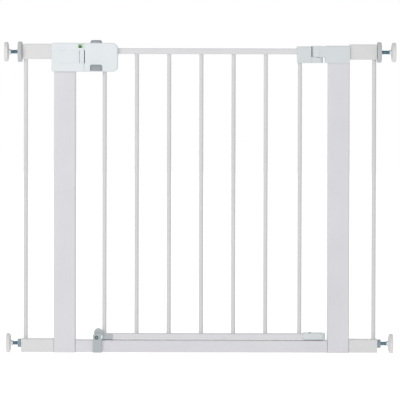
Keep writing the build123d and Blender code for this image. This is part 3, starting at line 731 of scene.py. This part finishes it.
def hinge_lip():
    """The raised lip round the upper hinge's arm, which leaves only a hairline to the door's cap."""
    pin_low, pin_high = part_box("hinge_pin")
    cap_low, cap_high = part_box("hinge_post_cap")
    axis_x = (pin_low.x + pin_high.x) / 2
    reach = axis_x - cap_low.x
    bottom, top = cap_high.z - 25.7 * MM, cap_high.z - 0.9 * MM
    soft = 0.2 * MM
    outer = reach + 0.6 * MM
    profile = [
        (bottom, reach - soft), (bottom, outer - soft), (bottom + soft, outer),
        (top - soft, outer), (top, outer - soft), (top, reach - soft),
    ]
    bm = lathe(profile, (axis_x, 0, 0), (0, 0, 1), 96, closed=True)
    make_object("hinge_arm_lip", bm, FINISH["hinge_plastic"], "frame", 35)


def rivet_painted_shade():
    """A dark ring on the head of the catch's rivet: painted shade of the rivet's hollow."""
    low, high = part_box("stop_rivet")
    center = (low + high) / 2
    radius = (high.x - low.x) / 2
    inner, outer = 1.7 * MM, radius - 0.2 * MM
    profile = [(-0.00015, inner), (-0.00015, outer), (0.0004, outer), (0.0004, inner)]
    # a thin near-black ring on the rivet head: painted shade of its hollow
    bm = lathe(profile, (center.x, low.y, center.z), (0, 1, 0), 48, closed=True)
    make_object("stop_rivet_painted_shade", bm, FINISH["rivet_shadow"], BODY_OF["stop_rivet"], 35)


def centered_outline(x, z_low, z_high, half, radius, steps=6):
    """A rounded rectangle about an X, between two heights."""
    return rounded_outline((x - half, z_low), (x + half, z_high), radius, steps)


def button_grips():
    """The paler ribbed plates on the two buttons of the handle."""
    low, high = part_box("top_button")
    middle = (low.x + high.x) / 2 + 0.45 * MM
    pale, body = FINISH["grip_plastic"], "top_button"
    outline = centered_outline(middle, high.z - 9.6 * MM, high.z - 3.6 * MM, 9.4 * MM, 1.6 * MM)
    face = low.y + 1.5 * MM
    plate("top_button_grip", outline, face + 0.05 * MM, face - 0.35 * MM, pale, body)
    tread = [(-7.0 * MM, 0.0), (-7.0 * MM, 0.4 * MM), (7.0 * MM, 0.4 * MM), (7.0 * MM, 0.0)]
    tread_y, tread_z = (low.y + high.y) / 2 - 1.0 * MM, high.z - 0.42 * MM
    for i in range(7):
        x = middle + (i - 3) * 2.6 * MM
        rib = centered_outline(x, high.z - 8.8 * MM, high.z - 4.4 * MM, 0.45 * MM, 0.4 * MM, 3)
        name = f"top_button_rib_{i + 1}"
        plate(name, rib, face - 0.3 * MM, face - 0.6 * MM, pale, body, 0.00012)
        bm = lathe(tread, (x, tread_y, tread_z), (0, 1, 0), 16)
        make_object(f"top_button_tread_{i + 1}", bm, FINISH["button_plastic"], body, 50)
    low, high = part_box("low_button")
    middle = (low.x + high.x) / 2
    base = low.z + 1.9 * MM
    face, body = low.y, "low_button"
    outline = centered_outline(middle, base, base + 8.3 * MM, 11.3 * MM, 2.4 * MM)
    grip = FINISH["button_plastic"]
    plate("low_button_grip", outline, face + 0.05 * MM, face - 0.5 * MM, grip, body)
    for i in range(5):
        z = base + (1.25 + 1.45 * i) * MM
        rib = centered_outline(middle, z - 0.35 * MM, z + 0.35 * MM, 9.2 * MM, 0.3 * MM, 3)
        name = f"low_button_rib_{i + 1}"
        plate(name, rib, face - 0.45 * MM, face - 0.75 * MM, pale, body, 0.0001)


def screw_sockets():
    """The cross sockets in the heads of the rear screws."""
    for node, body in (("handle_screws", "door"), ("strike_screws", "frame")):
        low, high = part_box(node)
        inset = 2.9 * MM
        across, upward = (low.x + inset, high.x - inset), (low.z + inset, high.z - inset)
        corners = [(x, z) for x in across for z in upward]
        if high.z - low.z < 4 * inset:
            corners = corners[::2]
        for number, (x, z) in enumerate(corners, 1):
            cross = []
            for i in range(4):
                turn = math.radians(45 + 90 * i)
                along = Vector((math.cos(turn), math.sin(turn)))
                aside = Vector((-along.y, along.x))
                for reach, shift in ((0.42, -0.42), (1.75, -0.30), (1.75, 0.30)):
                    at = along * reach * MM + aside * shift * MM
                    cross.append((x + at.x, z + at.y))
            name = f"{node}_socket_{number}"
            back, front = high.y - 0.1 * MM, high.y + 0.03 * MM
            plate(name, cross, back, front, FINISH["screw_steel"], body, 0.00001)


# ---------------------------------------------------------------- stage


def floor_material():
    """A pale seamless floor."""
    material, tree, shader, coords = new_tree("floor_paper")
    cloud = noise(tree, coords, 0.8, 2.0)
    mottled(tree, shader, cloud, (1.0, 1.0, 1.0), 0.70, 0.72)
    shader.inputs["Roughness"].default_value = 0.9
    shader.inputs["Specular IOR Level"].default_value = 0.0
    shader.inputs["Emission Color"].default_value = (1, 1, 1, 1)
    path = tree.nodes.new("ShaderNodeLightPath")
    glow = tree.nodes.new("ShaderNodeMath")
    glow.operation = "MULTIPLY_ADD"
    tree.links.new(path.outputs["Is Camera Ray"], glow.inputs[0])
    glow.inputs[1].default_value = FLOOR_SHOWN
    glow.inputs[2].default_value = FLOOR_GLOW
    tree.links.new(glow.outputs["Value"], shader.inputs["Emission Strength"])
    return material


def make_stage():
    """The floor, the pale surroundings and the soft lights."""
    bm = bmesh.new()
    bmesh.ops.create_grid(bm, x_segments=8, y_segments=8, size=FLOOR_HALF)
    mesh = bpy.data.meshes.new("floor")
    bm.to_mesh(mesh)
    bm.free()
    mesh.materials.append(floor_material())
    floor = bpy.data.objects.new("floor", mesh)
    floor.location.z = cad_box[0][2] - FLOOR_DROP
    bpy.context.scene.collection.objects.link(floor)
    make_world()
    add_light("key", KEY_LOCATION, KEY_TARGET, KEY_SIZE, KEY_POWER)


def make_world():
    """Studio light from the front and rear, a little from the left, before a pure white backdrop."""
    world = bpy.data.worlds.new("studio")
    world.use_nodes = True
    tree = world.node_tree
    tree.nodes.clear()
    output = tree.nodes.new("ShaderNodeOutputWorld")
    mix = tree.nodes.new("ShaderNodeMixShader")
    path = tree.nodes.new("ShaderNodeLightPath")
    backdrop = tree.nodes.new("ShaderNodeBackground")
    ambient = tree.nodes.new("ShaderNodeBackground")
    coords = tree.nodes.new("ShaderNodeTexCoord")
    split = tree.nodes.new("ShaderNodeSeparateXYZ")
    tree.links.new(coords.outputs["Generated"], split.inputs["Vector"])
    toward = tree.nodes.new("ShaderNodeMath")
    toward.operation = "ABSOLUTE"
    tree.links.new(split.outputs["Y"], toward.inputs[0])
    level = WORLD_BASE
    for output_socket, share in (
        (toward.outputs["Value"], WORLD_FRONT_AND_REAR),
        (split.outputs["X"], WORLD_RIGHT),
        (split.outputs["Z"], WORLD_UP),
    ):
        add = tree.nodes.new("ShaderNodeMath")
        add.operation = "MULTIPLY_ADD"
        tree.links.new(output_socket, add.inputs[0])
        add.inputs[1].default_value = share
        if isinstance(level, float):
            add.inputs[2].default_value = level
        else:
            tree.links.new(level, add.inputs[2])
        level = add.outputs["Value"]
    tree.links.new(level, ambient.inputs["Strength"])
    backdrop.inputs["Strength"].default_value = 1.0
    backdrop.inputs["Color"].default_value = (1, 1, 1, 1)
    ambient.inputs["Color"].default_value = (1, 1, 1, 1)
    tree.links.new(path.outputs["Is Camera Ray"], mix.inputs["Fac"])
    tree.links.new(ambient.outputs["Background"], mix.inputs[1])
    tree.links.new(backdrop.outputs["Background"], mix.inputs[2])
    tree.links.new(mix.outputs["Shader"], output.inputs["Surface"])
    bpy.context.scene.world = world


def add_light(name, location, target, size, power):
    """A square soft box aimed at a point."""
    light = bpy.data.lights.new(name, "AREA")
    light.shape = "SQUARE"
    light.size = size
    light.energy = power
    lamp = bpy.data.objects.new(name, light)
    lamp.location = location
    lamp.rotation_mode = "QUATERNION"
    lamp.rotation_quaternion = (Vector(target) - Vector(location)).to_track_quat("-Z", "Y")
    bpy.context.scene.collection.objects.link(lamp)


def make_camera():
    """A long lens, tilted a little, with a small shift that keeps the posts upright."""
    camera = bpy.data.cameras.new("camera")
    camera.sensor_width = SENSOR
    distance = CAMERA_DISTANCE + FRONT_PLANE_Y
    camera.lens = SENSOR * distance / VIEW_WIDTH
    camera.shift_y = CAMERA_SHIFT
    below = math.atan((CAMERA_Z - VIEW_CENTER_Z) / distance)
    shifted = math.atan(-CAMERA_SHIFT * SENSOR / camera.lens)
    holder = bpy.data.objects.new("camera", camera)
    holder.location = (0.0, -CAMERA_DISTANCE, CAMERA_Z)
    aim = Matrix.Rotation(math.pi / 2 - (below - shifted), 4, "X")
    holder.rotation_euler = (aim @ Matrix.Rotation(math.radians(CAMERA_ROLL), 4, "Z")).to_euler()
    bpy.context.scene.collection.objects.link(holder)
    bpy.context.scene.camera = holder
    bpy.context.scene.view_settings.view_transform = "Standard"


dress_cad_nodes()
for side, direction in SIDES:
    for height in ("upper", "lower"):
        threaded_spindle(side, direction, height)
        wall_pad(side, direction, height)
    knurled_wheel(side, direction)
    hex_nut(side)
all_welds()
band_inlay()
padlock_symbol()
mouth_lips()
coil_spring("top_button_spring")
coil_spring("low_button_spring")
hinge_lip()
rivet_painted_shade()
button_grips()
screw_sockets()
make_stage()
make_camera()
